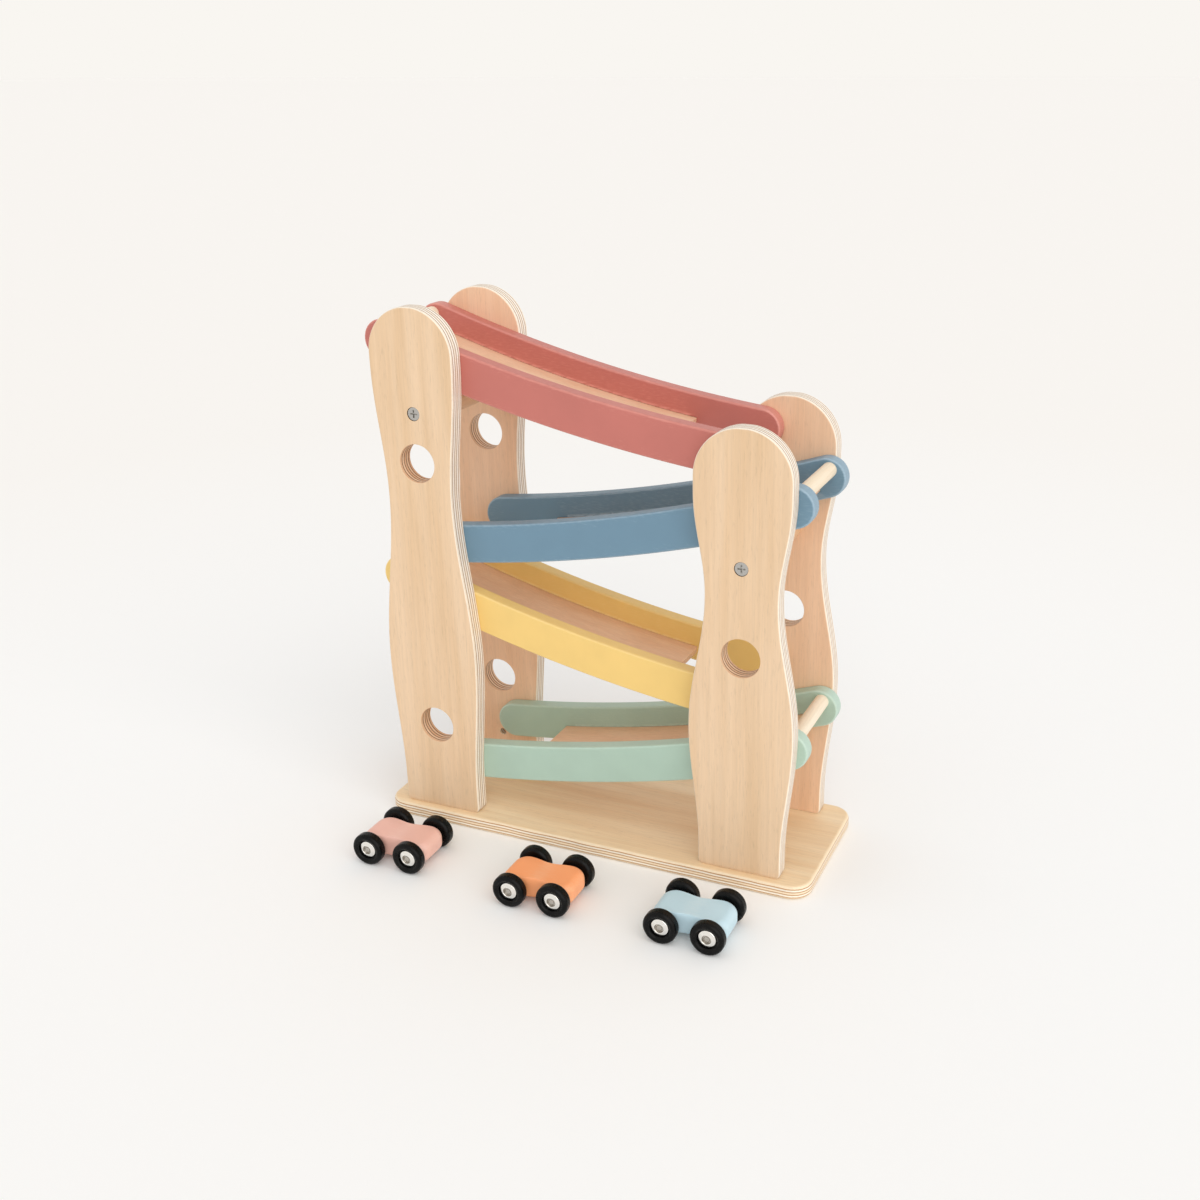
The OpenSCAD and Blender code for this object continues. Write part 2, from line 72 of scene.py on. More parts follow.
# For each side: the widths of foot, hip, waist and shoulder, where the foot ends and the other three
# are reached as shares of the height of the round head's middle, and the finger holes' heights
OUTLINES = {
    LEFT: ([w * mm for w in (48.4, 57, 40, 50.8)], (0.06, 0.35, 0.708, 0.975),
           (219.86 * mm, 62.1 * mm)),
    RIGHT: ([w * mm for w in (47.2, 58.6, 40, 52.8)], (0.053, 0.376, 0.718, 0.96),
            (135.36 * mm,)),
}
# Rows up each bend of the outline, rows over its head, and degrees from one of those to the next
BEND_ROWS = 14
HEAD_ROWS = 17
HEAD_TURN = 5.2
# A tie's screw: its head's counterbore, and the hole below it that leaves its cross open
SEAT_R = 3.85 * mm
SEAT_D = 0.9 * mm
CROSS_HOLE_R = 2.4 * mm
CROSS_HOLE_D = 3.5 * mm
# The stray pilot hole in the back left upright, measured down from the lowest ramp's low end
PILOT_R = 2.2 * mm
PILOT_D = 4 * mm
PILOT_DROP = 14.4 * mm

# Ramps
RAIL_OUT = PAIR_W / 2 - UPRIGHT_T
RAIL_T = 8.6 * mm
RAIL_IN = RAIL_OUT - RAIL_T
RAIL_H = 22 * mm
RAIL_EDGE = 1.2 * mm
RAIL_STEPS = 28
RAIL_END_STEPS = 18
HIGH_REACH = 117 * mm
LOW_REACH = 80 * mm
RAMP_DROP = 44.2 * mm
RAMP_SAG = 5.6 * mm
RAMP_CLEAR = 28.8 * mm
RAMP_PITCH = 67.6 * mm
FLOOR_T = 4 * mm
FLOOR_DROP = 2 * mm
FLOOR_REACH = 113 * mm
FLOOR_EDGE = 0.4 * mm
FLOOR_STEPS = 40
SLOT_START = 43.7 * mm
GROOVE_D = 2.4 * mm
# The groove is a little taller and deeper than the floor, which leaves the dark line along the joint
GROOVE_SPARE = 0.25 * mm
GROOVE_END_GAP = 0.1 * mm
# A ramp: its level from the lowest, and the side of its high end
RAMPS = {"green": (0, RIGHT), "yellow": (1, LEFT), "blue": (2, RIGHT), "red": (3, LEFT)}

# The ramp's arc, with its zero below the tower's middle at the height of the rail's low end
CHORD = math.hypot(HIGH_REACH + LOW_REACH, RAMP_DROP)
TILT = math.atan2(RAMP_DROP, HIGH_REACH + LOW_REACH)
ARC_R = CHORD ** 2 / (8 * RAMP_SAG) + RAMP_SAG / 2
HALF_SWEEP = math.asin(CHORD / 2 / ARC_R)
ARC_X = (HIGH_REACH - LOW_REACH) / 2 - (ARC_R - RAMP_SAG) * math.sin(TILT)
ARC_Z = RAMP_DROP / 2 + (ARC_R - RAMP_SAG) * math.cos(TILT)

# Cars
CAR_W = 22.4 * mm
CAR_WAIST = 18.4 * mm
CAR_CORNER = 6 * mm
CAR_END_R = 4.4 * mm
CAR_SIDE_R = 1.6 * mm
# Rows along a car's flank, round its corner, and up its softened edge, and degrees from one of the
# corner's rows to the next
CAR_ROWS = 8
CORNER_TURN = 10.8
CAP_R = 5 * mm
CAP_RIM = 0.84 * mm
CAP_FOOT = 15.7 * mm
RECESS_R = 2.6 * mm
# Half a cap's profile in millimetres, radius and height: rim, crown, lip, recess, boss over the axle
CAP_PROFILE = ((4.9, 0.98), (4.6, 1.1), (4.1, 1.36), (3.5, 1.62), (3, 1.81), (2.7, 1.87), (2.55, 1.78),
               (2.45, 1.55), (2.35, 0.98), (2.2, 0.78), (1.7, 0.72), (1.52, 0.82), (1.44, 1.12), (1.2, 1.24),
               (0.7, 1.3), (0.3, 1.31))

# How far a cutter runs past the face that it opens
OVERRUN = 1 * mm
# A drilled rim's curve ends a hair outside the face, so that the cut leaves no slivers there
RIM_SPARE = 0.02 * mm
# Points within HAIR are one point, and a place within NEAR or CLOSE of another counts as there
HAIR = 0.01 * mm
NEAR = 0.1 * mm
CLOSE = 1 * mm
# An edge is sharp where its two faces turn by more than this
SHARP = math.radians(60)
# A face looks along an axis where its normal's part on that axis is above this
FACING = 0.9
# Sides of the round cutters and of the caps
HOLE_SIDES = 72
RECESS_SIDES = 40
CAP_SIDES = 48


# Finishes. A pattern's sizes are in millimetres, and those too fine to show in the whole toy's picture
# are drawn coarser than life: grain streaks, glue lines, specks in the rubber and in the cut edges.
def linear(hex_colour):
    """An sRGB hex colour as Blender's linear RGBA."""
    channels = [int(hex_colour[i:i + 2], 16) / 255 for i in (1, 3, 5)]
    return [c / 12.92 if c <= 0.04045 else ((c + 0.055) / 1.055) ** 2.4 for c in channels] + [1.0]


def add(tree, kind, inputs=None, **settings):
    """Adds a node, sets its settings, and gives each input a value or a link."""
    made = tree.nodes.new(kind)
    for name, value in settings.items():
        setattr(made, name, value)
    for name, value in (inputs or {}).items():
        if isinstance(value, bpy.types.NodeSocket):
            tree.links.new(value, made.inputs[name])
        else:
            made.inputs[name].default_value = value
    return made


def start_material(name):
    """A new material with an empty Principled shader, and its object coordinates."""
    material = bpy.data.materials.new(name)
    material.use_nodes = True
    tree = material.node_tree
    tree.nodes.clear()
    shader = add(tree, "ShaderNodeBsdfPrincipled")
    add(tree, "ShaderNodeOutputMaterial", {"Surface": shader.outputs["BSDF"]})
    place = add(tree, "ShaderNodeTexCoord").outputs["Object"]
    return material, tree, shader, place


def set_ramp(ramp, stops):
    """Fills a colour ramp with (position, hex colour) stops."""
    ramp.interpolation = "LINEAR"
    while len(ramp.elements) < len(stops):
        ramp.elements.new(0.5)
    for element, (position, colour) in zip(ramp.elements, stops):
        element.position = position
        element.color = linear(colour)


def clouds(tree, place, size, detail):
    """Even noise with patches about that many millimetres wide."""
    noise = add(tree, "ShaderNodeTexNoise", {"Vector": place, "Scale": 1 / (size * mm), "Detail": detail})
    return noise.outputs["Fac"]


def grain(tree, place, along, streak, length, seed):
    """Noise drawn out along one axis: streaks that many millimetres wide and long."""
    scale = [1 / (streak * mm)] * 3
    scale[along] = 1 / (length * mm)
    moved = add(tree, "ShaderNodeMapping", {"Vector": place, "Location": (seed, seed * 2, seed * 3),
                                            "Scale": scale})
    noise = add(tree, "ShaderNodeTexNoise", {"Vector": moved.outputs["Vector"], "Scale": 1.0, "Detail": 3.0,
                                             "Roughness": 0.55})
    return noise.outputs["Fac"]


def remap(tree, value, low, high, to_low, to_high):
    """A value carried from one range to another."""
    made = add(tree, "ShaderNodeMapRange", {"Value": value, "From Min": low, "From Max": high,
                                            "To Min": to_low, "To Max": to_high})
    return made.outputs["Result"]


def times(tree, a, b):
    """A colour times a shade, or a colour times a colour."""
    return add(tree, "ShaderNodeVectorMath", {0: a, 1: b}, operation="MULTIPLY").outputs["Vector"]


def relief(tree, shader, height, strength, depth):
    """Raises the surface by a pattern, that many millimetres deep."""
    bump = add(tree, "ShaderNodeBump", {"Height": height, "Strength": strength, "Distance": depth * mm})
    tree.links.new(bump.outputs["Normal"], shader.inputs["Normal"])


def birch_plywood(name, along, through, start, thickness, veneer, ends, glue, seed):
    """Sanded and oiled birch plywood: veneer faces with fine streaks and short flecks, and on the
    cut edges five plies of two creams, side grain and end grain, with narrow brown glue lines between."""
    plies = 5
    material, tree, shader, place = start_material(name)
    wide = grain(tree, place, along, streak=9, length=160, seed=seed)
    fine = grain(tree, place, along, streak=0.9, length=34, seed=seed + 3)
    fleck = grain(tree, place, along, streak=0.8, length=6, seed=seed + 7)
    tone = add(tree, "ShaderNodeValToRGB", {"Fac": wide})
    set_ramp(tone.color_ramp, [(0.36, veneer[0]), (0.64, veneer[1])])
    streak = remap(tree, fine, 0.34, 0.66, 0.955, 1.025)
    dash = remap(tree, fleck, 0.56, 0.7, 1.0, 0.91)
    face = times(tree, times(tree, tone.outputs["Color"], streak), dash)
    # Depth into the board, as a share of its thickness; the plies wander a little along the edge
    split = add(tree, "ShaderNodeSeparateXYZ", {"Vector": place})
    depth = add(tree, "ShaderNodeMath", {0: split.outputs[through]}, operation="ABSOLUTE")
    drift = remap(tree, clouds(tree, place, size=14, detail=2.0), 0, 1, -0.45 * mm, 0.45 * mm)
    moved = add(tree, "ShaderNodeMath", {0: depth.outputs["Value"], 1: drift}, operation="ADD")
    share = remap(tree, moved.outputs["Value"], start, start + thickness, 0, 1)
    stops = [(0.0, ends[0])]
    # Half a glue line's width as drawn, and how far it then fades out on either side
    line = 0.2 * mm / thickness
    for ply in range(1, plies):
        middle = ply / plies
        stops += [(middle - 2 * line, stops[-1][1]), (middle - line, glue), (middle + line, glue),
                  (middle + 2 * line, ends[ply % 2])]
    edge = add(tree, "ShaderNodeValToRGB", {"Fac": share})
    set_ramp(edge.color_ramp, stops)
    speckle = remap(tree, clouds(tree, place, size=0.8, detail=2.0), 0.3, 0.7, 0.95, 1.03)
    fibre = grain(tree, place, along, streak=0.7, length=13, seed=seed + 1)
    strand = remap(tree, fibre, 0.5, 0.68, 1.0, 0.88)
    cut_face = times(tree, times(tree, edge.outputs["Color"], speckle), strand)
    # The veneer shows where the surface faces through the board, and the plies on every other side
    normal = add(tree, "ShaderNodeNewGeometry").outputs["Normal"]
    facing = add(tree, "ShaderNodeSeparateXYZ", {"Vector": normal})
    flat = add(tree, "ShaderNodeMath", {0: facing.outputs[through]}, operation="ABSOLUTE")
    on_face = remap(tree, flat.outputs["Value"], 0.72, 0.94, 0, 1)
    colour = add(tree, "ShaderNodeMix", {0: on_face, 6: cut_face, 7: face}, data_type="RGBA")
    tree.links.new(colour.outputs[2], shader.inputs["Base Color"])
    tree.links.new(remap(tree, fine, 0, 1, 0.46, 0.62), shader.inputs["Roughness"])
    relief(tree, shader, fine, strength=0.25, depth=0.05)
    shader.inputs["IOR"].default_value = 1.45
    return material


def upright_birch(name, veneer, ends, glue, seed):
    """Birch plywood as the uprights have it: the grain upright, and the plies side by side along Y."""
    return birch_plywood(name, ALONG_Z, "Y", RAIL_OUT, UPRIGHT_T, veneer, ends, glue, seed)


def plain_wood(name, tones, streak, length, along, seed):
    """Bare sanded hardwood: streaked along its grain, with short darker pores."""
    material, tree, shader, place = start_material(name)
    wide = grain(tree, place, along, streak * 6, length * 4, seed)
    fine = grain(tree, place, along, streak, length, seed + 5)
    pore = grain(tree, place, along, streak * 0.6, length * 0.12, seed + 9)
    tone = add(tree, "ShaderNodeValToRGB", {"Fac": wide})
    set_ramp(tone.color_ramp, [(0.32, tones[0]), (0.68, tones[1])])
    streaks = remap(tree, fine, 0.33, 0.67, 0.94, 1.03)
    pores = remap(tree, pore, 0.62, 0.72, 1.0, 0.9)
    colour = times(tree, times(tree, tone.outputs["Color"], streaks), pores)
    tree.links.new(colour, shader.inputs["Base Color"])
    relief(tree, shader, fine, strength=0.3, depth=0.05)
    shader.inputs["Roughness"].default_value = 0.55
    shader.inputs["IOR"].default_value = 1.45
    return material


def satin_paint(name, colour, edge, seed):
    """Water-based satin paint on sanded wood: an even colour with a faint cloud, a painted highlight
    that lightens it towards the edge colour along the sharpest softened edges, and a slight grain that shows
    through as relief."""
    material, tree, shader, place = start_material(name)
    shade = remap(tree, clouds(tree, place, size=22, detail=3.0), 0.3, 0.7, 0.965, 1.03)
    coat = times(tree, linear(colour)[:3], shade)
    # A painted highlight: where the surface is sharpest, broken up a little by a fine streak, the paint is
    # lightened towards `edge`
    sharpness = add(tree, "ShaderNodeNewGeometry").outputs["Pointiness"]
    patchy = grain(tree, place, ALONG_X, streak=0.8, length=4, seed=seed)
    edge_highlight_level = add(tree, "ShaderNodeMath", {0: patchy, 1: 0.03, 2: sharpness}, operation="MULTIPLY_ADD")
    edge_highlight = remap(tree, edge_highlight_level.outputs["Value"], 0.531, 0.56, 0.0, 0.75)
    mixed = add(tree, "ShaderNodeMix", {0: edge_highlight, 6: coat, 7: linear(edge)}, data_type="RGBA")
    tree.links.new(mixed.outputs[2], shader.inputs["Base Color"])
    brushed = grain(tree, place, ALONG_X, streak=0.7, length=18, seed=seed + 4)
    relief(tree, shader, brushed, strength=0.22, depth=0.05)
    tree.links.new(remap(tree, brushed, 0, 1, 0.38, 0.5), shader.inputs["Roughness"])
    shader.inputs["IOR"].default_value = 1.5
    return material


def moulded_rubber():
    """Moulded black rubber: near black, glossy where the mould was smooth, with fine specks."""
    material, tree, shader, place = start_material("moulded_black_rubber")
    tone = add(tree, "ShaderNodeValToRGB", {"Fac": clouds(tree, place, size=3, detail=4.0)})
    set_ramp(tone.color_ramp, [(0.35, "#060606"), (0.7, "#101010")])
    tree.links.new(tone.outputs["Color"], shader.inputs["Base Color"])
    dimple = clouds(tree, place, size=0.5, detail=2.0)
    relief(tree, shader, dimple, strength=0.35, depth=0.06)
    tree.links.new(remap(tree, dimple, 0.35, 0.65, 0.16, 0.46), shader.inputs["Roughness"])
    shader.inputs["IOR"].default_value = 1.52
    shader.inputs["Specular IOR Level"].default_value = 0.14
    return material


def metal(name, colour, roughness, scratch):
    """Plated or drawn steel: its roughness wavers where it has been handled."""
    material, tree, shader, place = start_material(name)
    rub = clouds(tree, place, size=scratch, detail=4.0)
    gloss = remap(tree, rub, 0.3, 0.7, roughness * 0.7, roughness * 1.4)
    tree.links.new(gloss, shader.inputs["Roughness"])
    shader.inputs["Base Color"].default_value = linear(colour)
    shader.inputs["Metallic"].default_value = 1.0
    return material


# Oiled birch plywood: a pale satin face, streaked up the uprights, and an edge of cream and brown
# stripes. The back pair's veneer is a shade pinker, and the board's is yellower and runs lengthwise.
FRONT_BIRCH = upright_birch("oiled_birch_plywood_front", veneer=("#E0BF99", "#E8CAA8"),
                            ends=("#F8ECDA", "#FCF5E9"), glue="#AD8563", seed=11)
BACK_BIRCH = upright_birch("oiled_birch_plywood_back", veneer=("#EBC3A0", "#F1CDAD"),
                           ends=("#F8ECDA", "#FCF5E9"), glue="#AD8563", seed=17)
BOARD_BIRCH = birch_plywood("oiled_birch_plywood_board", ALONG_X, "Z", 0.0, BASE_TOP,
                            veneer=("#EFD0A6", "#F7DEB9"), ends=("#FBE6C6", "#FFF5E2"), glue="#C49365",
                            seed=23)
# The finger holes' walls are browner than the sanded edges, with darker glue lines
DRILLED_BIRCH = upright_birch("drilled_birch_plywood", veneer=("#E0BF99", "#E8CAA8"),
                              ends=("#E4BD98", "#F0D1B0"), glue="#7A5036", seed=19)
# Dark brown wood in the screw's seat and the hole under its cross: a painted shade for the gap round the
# screw's head
SEAT_PAINTED_SHADE = plain_wood("screw_seat_painted_shade", ("#4C392C", "#5C4636"), streak=0.6, length=4, along=ALONG_Z,
                       seed=61)
# Bare sanded wood: a warm pinkish beech strip down each ramp, browner birch ties, and turned beech
# dowels, the palest wood of all
FLOOR_WOOD = plain_wood("sanded_beech_floor", ("#EABF9B", "#F1CBAA"), streak=0.9, length=26, along=ALONG_X,
                        seed=5)
TIE_WOOD = plain_wood("sanded_birch_tie", ("#DDB28A", "#E7BF98"), streak=0.8, length=24, along=ALONG_Y,
                      seed=29)
DOWEL_WOOD = plain_wood("turned_beech_dowel", ("#F1DEC1", "#F8E9D2"), streak=0.7, length=20, along=ALONG_Y,
                        seed=17)
# Brushed satin paint: soft even colours, each with a paler colour for the painted highlight along the sharp
# edges
PAINTS = {
    "red": satin_paint("satin_paint_dusty_red", "#C17167", "#E7A193", 31),
    "blue": satin_paint("satin_paint_steel_blue", "#6B8CA1", "#A9C0CE", 37),
    "yellow": satin_paint("satin_paint_corn_yellow", "#EFCB7B", "#F8DC9C", 41),
    "green": satin_paint("satin_paint_sage_green", "#AEC8B8", "#C8DCCD", 43),
    "pink": satin_paint("satin_paint_powder_pink", "#EEBAAA", "#F3CDC0", 47),
    "orange": satin_paint("satin_paint_apricot_orange", "#FFA871", "#FFC79E", 53),
    "light_blue": satin_paint("satin_paint_pale_blue", "#C1DDE8", "#D5E6EB", 59),
}
# Black tyres, with small soft highlights along their shoulders
RUBBER = moulded_rubber()
# Polished nickel mirrors the pale room, and the caps' recess gets a duller, greyer nickel: a painted shade
# for the hollow
CAP_STEEL = metal("polished_nickel_cap", "#EDEBE7", roughness=0.09, scratch=6)
RECESS_SHADE_STEEL = metal("nickel_recess_painted_shade", "#B9B4AD", roughness=0.24, scratch=1.2)
# Zinc plate and drawn wire: a plain grey shine
SCREW_STEEL = metal("zinc_plated_screw", "#BAB8B4", roughness=0.24, scratch=0.9)
AXLE_STEEL = metal("drawn_steel_axle", "#C4C4C2", roughness=0.25, scratch=2)


def dress(obj, material):
    """Gives a piece one material in all its slots."""
    if not obj.material_slots:
        obj.data.materials.append(material)
    for slot in obj.material_slots:
        slot.link = "OBJECT" if obj.name in NODES else "DATA"
        slot.material = material


# Modelling by hand
def only(obj):
    """Selects one piece and nothing else."""
    bpy.ops.object.select_all(action="DESELECT")
    bpy.context.view_layer.objects.active = obj
    obj.select_set(True)


def start_edit(obj):
    only(obj)
    bpy.ops.object.mode_set(mode="EDIT")


def end_edit():
    bpy.ops.object.mode_set(mode="OBJECT")


def set_in_place():
    """Moves the place, turn and size of what is selected into its mesh."""
    bpy.ops.object.transform_apply(location=True, rotation=True, scale=True)


def pick(kind, test):
    """In edit mode, selects the verts, edges or faces whose middle passes the test."""
    bpy.ops.mesh.select_mode(type={"verts": "VERT", "edges": "EDGE", "faces": "FACE"}[kind])
    bpy.ops.mesh.select_all(action="DESELECT")
    mesh = bmesh.from_edit_mesh(bpy.context.object.data)
    for element in getattr(mesh, kind):
        if kind == "verts":
            middle = element.co
        else:
            middle = sum((v.co for v in element.verts), Vector()) / len(element.verts)
        if test(element, middle):
            element.select_set(True)
    bmesh.update_edit_mesh(bpy.context.object.data)


def push_out(x, y, z):
    """Extrudes what is selected by a distance."""
    bpy.ops.mesh.extrude_region_move(TRANSFORM_OT_translate={"value": (x, y, z)})


def close_up():
    """In edit mode, merges doubled points and turns every face outwards."""
    bpy.ops.mesh.select_all(action="SELECT")
    bpy.ops.mesh.remove_doubles(threshold=HAIR)
    bpy.ops.mesh.normals_make_consistent(inside=False)


def round_sharp_edges(width, segments):
    """In edit mode, bevels every sharp edge."""
    bpy.ops.mesh.select_all(action="DESELECT")
    bpy.ops.mesh.edges_select_sharp(sharpness=SHARP)
    bpy.ops.mesh.bevel(offset=width, segments=segments, affect="EDGES")


def new_cube(name, low, high):
    """A cube from corner to corner, in edit mode."""
    bpy.ops.object.select_all(action="DESELECT")
    low, high = Vector(low), Vector(high)
    bpy.ops.mesh.primitive_cube_add(size=1, location=(low + high) / 2, scale=high - low)
    obj = bpy.context.object
    obj.name = name
    set_in_place()
    start_edit(obj)
    return obj


def new_rod(x, y, z, radius, length, sides):
    """A round bar along Y."""
    bpy.ops.object.select_all(action="DESELECT")
    bpy.ops.mesh.primitive_cylinder_add(vertices=sides, radius=radius, depth=length, location=(x, y, z),
                                        rotation=(math.pi / 2, 0, 0))
    set_in_place()
    return bpy.context.object


def carve(obj, cutter):
    """Takes a cutter out of a piece and deletes it."""
    only(obj)
    cut = obj.modifiers.new("cut", "BOOLEAN")
    cut.operation = "DIFFERENCE"
    cut.solver = "EXACT"
    cut.object = cutter
    bpy.ops.object.modifier_apply(modifier=cut.name)
    bpy.data.objects.remove(cutter)


def drill_y(obj, x, z, radius, y_from, y_to, rim=0.0):
    """Cuts a round hole along Y. With a rim, both its edges are rounded, and then the drill has to run
    its overrun past both faces."""
    drill = new_rod(x, (y_from + y_to) / 2, z, radius, abs(y_to - y_from), HOLE_SIDES)
    if rim:
        start_edit(drill)
        for way, end in ((-1, y_from), (1, y_to)):
            pick("faces", lambda f, m: abs(m.y - end) < HAIR)
            bpy.ops.transform.translate(value=(0, -way * (OVERRUN + rim - RIM_SPARE), 0))
            wide, risen = radius, 0.0
            for degrees in (30, 60, 90):
                turn = math.radians(degrees)
                wider, rise = radius + rim * (1 - math.cos(turn)), rim * math.sin(turn)
                push_out(0, way * (rise - risen), 0)
                bpy.ops.transform.resize(value=(wider / wide, 1, wider / wide), center_override=(x, 0, z))
                wide, risen = wider, rise
            push_out(0, way * OVERRUN, 0)
        end_edit()
    carve(obj, drill)


def finish_piece(obj, body, node, material, smooth=40):
    """Places a piece at the origin, smooths its shading, and lets it stand for its node."""
    only(obj)
    set_in_place()
    bpy.ops.object.shade_smooth_by_angle(angle=math.radians(smooth))
    weigh = obj.modifiers.new("weigh", "WEIGHTED_NORMAL")
    weigh.keep_sharp = True
    weigh.weight = 80
    bpy.ops.object.modifier_apply(modifier=weigh.name)
    dress(obj, material)
    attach(obj, body)
    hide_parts(node)


# Base board
def base_board():
    """The board: a slab with round corners and softened edges, recessed below for its screws' heads."""
    low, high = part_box("base_board")
    board = new_cube("plywood_base_board", low, high)
    pick("edges", lambda e, m: abs(e.verts[0].co.z - e.verts[1].co.z) > CLOSE)
    bpy.ops.mesh.bevel(offset=BASE_CORNER, segments=10, affect="EDGES")
    round_sharp_edges(BASE_EDGE, 5)
    end_edit()
    for head in screw_heads():
        bpy.ops.object.select_all(action="DESELECT")
        bpy.ops.mesh.primitive_cylinder_add(vertices=RECESS_SIDES, radius=HEAD_RECESS_R,
                                            depth=2 * HEAD_RECESS_D, location=(*head, 0))
        carve(board, bpy.context.object)
    finish_piece(board, "tower", "base_board", BOARD_BIRCH)


def screw_heads():
    """Where the screws under the board sit: two below each upright, a quarter of its foot's width to
    either side of its middle."""
    places = []
    for side in (LEFT, RIGHT):
        foot = OUTLINES[side][0][0]
        for face in (FRONT, BACK):
            for step in (-1, 1):
                places.append((TOWER_X + side * PAIR_SPAN / 2 + step * foot / 4,
                               face * (PAIR_W - UPRIGHT_T) / 2))
    return places


# Uprights
def ease(a, b, s):
    """Smooth step from a to b as s goes from 0 to 1."""
    return a + (b - a) * (1 - math.cos(math.pi * s)) / 2


def upright_rows(widths, shares, head_z):
    """(height, width) up an upright: foot, hip, waist, shoulder, then round over the head."""
    heights = [share * head_z for share in shares]
    rows = [(0, widths[0]), (heights[0], widths[0])]
    for k in range(3):
        for i in range(1, BEND_ROWS + 1):
            s = i / BEND_ROWS
            rows.append((heights[k] + (heights[k + 1] - heights[k]) * s, ease(widths[k], widths[k + 1], s)))
    head = widths[3] / 2
    for step in range(HEAD_ROWS):
        turn = math.radians(HEAD_TURN * step)
        rows.append((head_z + head * math.sin(turn), 2 * head * math.cos(turn)))
    return rows


def upright(node, side, face):
    """Waisted upright: a foot block whose top face is extruded up row by row to the outline's width,
    rounded along its edges, then drilled."""
    low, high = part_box(node)
    x = TOWER_X + side * PAIR_SPAN / 2
    widths, shares, holes = OUTLINES[side]
    rows = upright_rows(widths, shares, high.z - BASE_TOP - widths[3] / 2)
    middle_y = (low.y + high.y) / 2
    (_, w0), (z1, w1) = rows[0], rows[1]
    piece = new_cube(f"plywood_{node}", (x - w0 / 2, low.y, BASE_TOP), (x + w1 / 2, high.y, BASE_TOP + z1))
    pick("faces", lambda f, m: f.normal.z > FACING)
    for (z_old, w_old), (z_new, w_new) in zip(rows[1:], rows[2:]):
        push_out(0, 0, z_new - z_old)
        bpy.ops.transform.resize(value=(w_new / w_old, 1, 1), center_override=(x, middle_y, BASE_TOP + z_new))
    pick("edges", lambda e, m: m.z < BASE_TOP + NEAR and abs(e.verts[0].co.x - e.verts[1].co.x) < NEAR)
    bpy.ops.mesh.bevel(offset=FOOT_CORNER, segments=4, affect="EDGES")
    for way in (-1, 1):
        pick("faces", lambda f, m: f.normal.y * way > FACING)
        bpy.ops.mesh.dissolve_faces()
    round_sharp_edges(UPRIGHT_EDGE, 5)
    end_edit()
    for z in holes:
        drill_y(piece, x, z, FINGER_HOLE_R, low.y - OVERRUN, high.y + OVERRUN, rim=FINGER_HOLE_RIM)
    screw_z = sum(c.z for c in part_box(f"{'left' if side == LEFT else 'right'}_tie")) / 2
    outer = low.y if face == FRONT else high.y
    for radius, depth in ((SEAT_R, SEAT_D), (CROSS_HOLE_R, CROSS_HOLE_D)):
        drill_y(piece, x, screw_z, radius, outer - face * depth, outer + face * OVERRUN)
    if node == "back_left_upright":
        pilot_z = BASE_TOP + RAMP_CLEAR - PILOT_DROP
        drill_y(piece, x, pilot_z, PILOT_R, low.y - OVERRUN, low.y + PILOT_D)
    finish_piece(piece, "tower", node, FRONT_BIRCH if face == FRONT else BACK_BIRCH)
    stain_holes_and_shade_seat(piece, x, holes, screw_z, outer, face)


def stain_holes_and_shade_seat(piece, x, holes, screw_z, outer, face):
    """Gives the walls of an upright's finger holes their browner wood, and its screw's seat a dark painted
    shade.
    """
    piece.data.materials.append(DRILLED_BIRCH)
    piece.data.materials.append(SEAT_PAINTED_SHADE)
    for wall in piece.data.polygons:
        from_hole = min(math.hypot(wall.center.x - x, wall.center.z - z) for z in holes)
        from_screw = math.hypot(wall.center.x - x, wall.center.z - screw_z)
        sunk = (outer - wall.center.y) * face
        if from_hole < FINGER_HOLE_R + NEAR and abs(wall.normal.y) < 0.8:
            wall.material_index = 1
        # The seat and the hole under the screw's cross get the dark painted shade
        elif from_screw < SEAT_R + NEAR and HAIR < sunk < CROSS_HOLE_D + NEAR:
            wall.material_index = 2


# Ramps
def ramp_frame(colour):
    """Side of the high end, middle of the arc, and middles of the low and the high round end."""
    level, side = RAMPS[colour]
    zero = BASE_TOP + RAMP_CLEAR + level * RAMP_PITCH
    arc = Vector((TOWER_X + side * ARC_X, 0, zero + ARC_Z))
    low_end = Vector((TOWER_X - side * LOW_REACH, 0, zero))
    high_end = Vector((TOWER_X + side * HIGH_REACH, 0, zero + RAMP_DROP))
    return side, arc, low_end, high_end


def slope_at(offset, radius=ARC_R):
    """Slope of the arc at a distance from the tower's middle, uphill positive."""
    return math.asin((offset - ARC_X) / radius)


def section(name, side, arc, radius, slope, y_low, y_high, height, cuts=1):
    """A flat cross-section of the ramp, square to its run, at one slope of the arc; in edit mode."""
    bpy.ops.object.select_all(action="DESELECT")
    place = arc + Vector((side * radius * math.sin(slope), (y_low + y_high) / 2, -radius * math.cos(slope)))
    bpy.ops.mesh.primitive_grid_add(x_subdivisions=cuts, y_subdivisions=1, size=1, location=place,
                                    rotation=(0, side * (math.pi / 2 - slope), 0))
    piece = bpy.context.object
    piece.name = name
    piece.scale = (height, y_high - y_low, 1)
    set_in_place()
    start_edit(piece)
    return piece


def sweep(arc, side, turn, steps):
    """Spins the whole section uphill about the arc's middle."""
    bpy.ops.mesh.select_all(action="SELECT")
    bpy.ops.mesh.spin(steps=steps, angle=side * turn, center=arc, axis=(0, 1, 0))


def floor_run(name, side, arc, y_low, y_high, height, steps):
    """A curved bar on the floor's own arc, from the drop slot to its high end; in edit mode."""
    top_r = ARC_R + FLOOR_DROP
    first, last = slope_at(-SLOT_START, top_r), slope_at(FLOOR_REACH, top_r)
    piece = section(name, side, arc, top_r + FLOOR_T / 2, first, y_low, y_high, height)
    sweep(arc, side, last - first, steps)
    close_up()
    return piece


